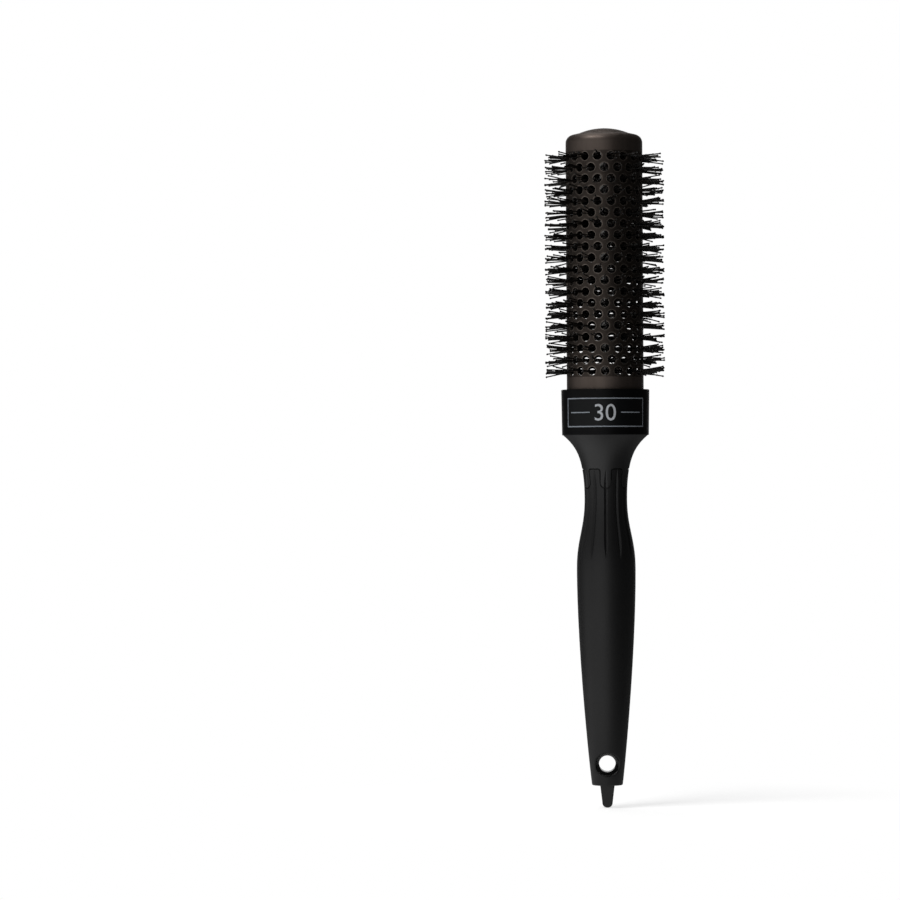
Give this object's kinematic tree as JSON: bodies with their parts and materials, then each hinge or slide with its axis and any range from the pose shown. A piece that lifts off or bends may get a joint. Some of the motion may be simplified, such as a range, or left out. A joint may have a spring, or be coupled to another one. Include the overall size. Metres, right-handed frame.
{
  "type": "round barrel brush",
  "caption": "Upright round hair brush with a perforated dark metal barrel, black nylon bristles, a soft black handle with a hanging hole and a small sectioning tip.",
  "frame": {"origin": "middle of the hanging hole, on the brush's axis", "axes": "+Z along the brush's axis from the handle's end to the end cap, -Y out of the front of the handle, along the hanging hole"},
  "size_m": [0.0474, 0.0474, 0.2654],
  "materials": {
    "barrel": "satin, dark anodised",
    "cap": "satin, dark anodised",
    "stem": "drawn wire",
    "bristles": "nylon filament",
    "collar": "moulded, semi-gloss",
    "core": "moulded, matt",
    "grip": "soft-touch, matt"
  },
  "bodies": {
    "root": {"barrel_tube": "barrel", "end_cap": "cap", "stem_wire_a": "stem", "stem_wire_b": "stem", "bristle_row_01": "bristles", "bristle_row_02": "bristles", "bristle_row_03": "bristles", "bristle_row_04": "bristles", "bristle_row_05": "bristles", "bristle_row_06": "bristles", "bristle_row_07": "bristles", "bristle_row_08": "bristles", "bristle_row_09": "bristles", "bristle_row_10": "bristles", "bristle_row_11": "bristles", "bristle_row_12": "bristles", "bristle_row_13": "bristles", "bristle_row_14": "bristles", "bristle_row_15": "bristles", "bristle_row_16": "bristles", "bristle_row_17": "bristles", "bristle_row_18": "bristles", "bristle_row_19": "bristles", "bristle_row_20": "bristles", "collar": "collar", "handle_core": "core", "soft_grip": "grip"}
  },
  "joints": []
}
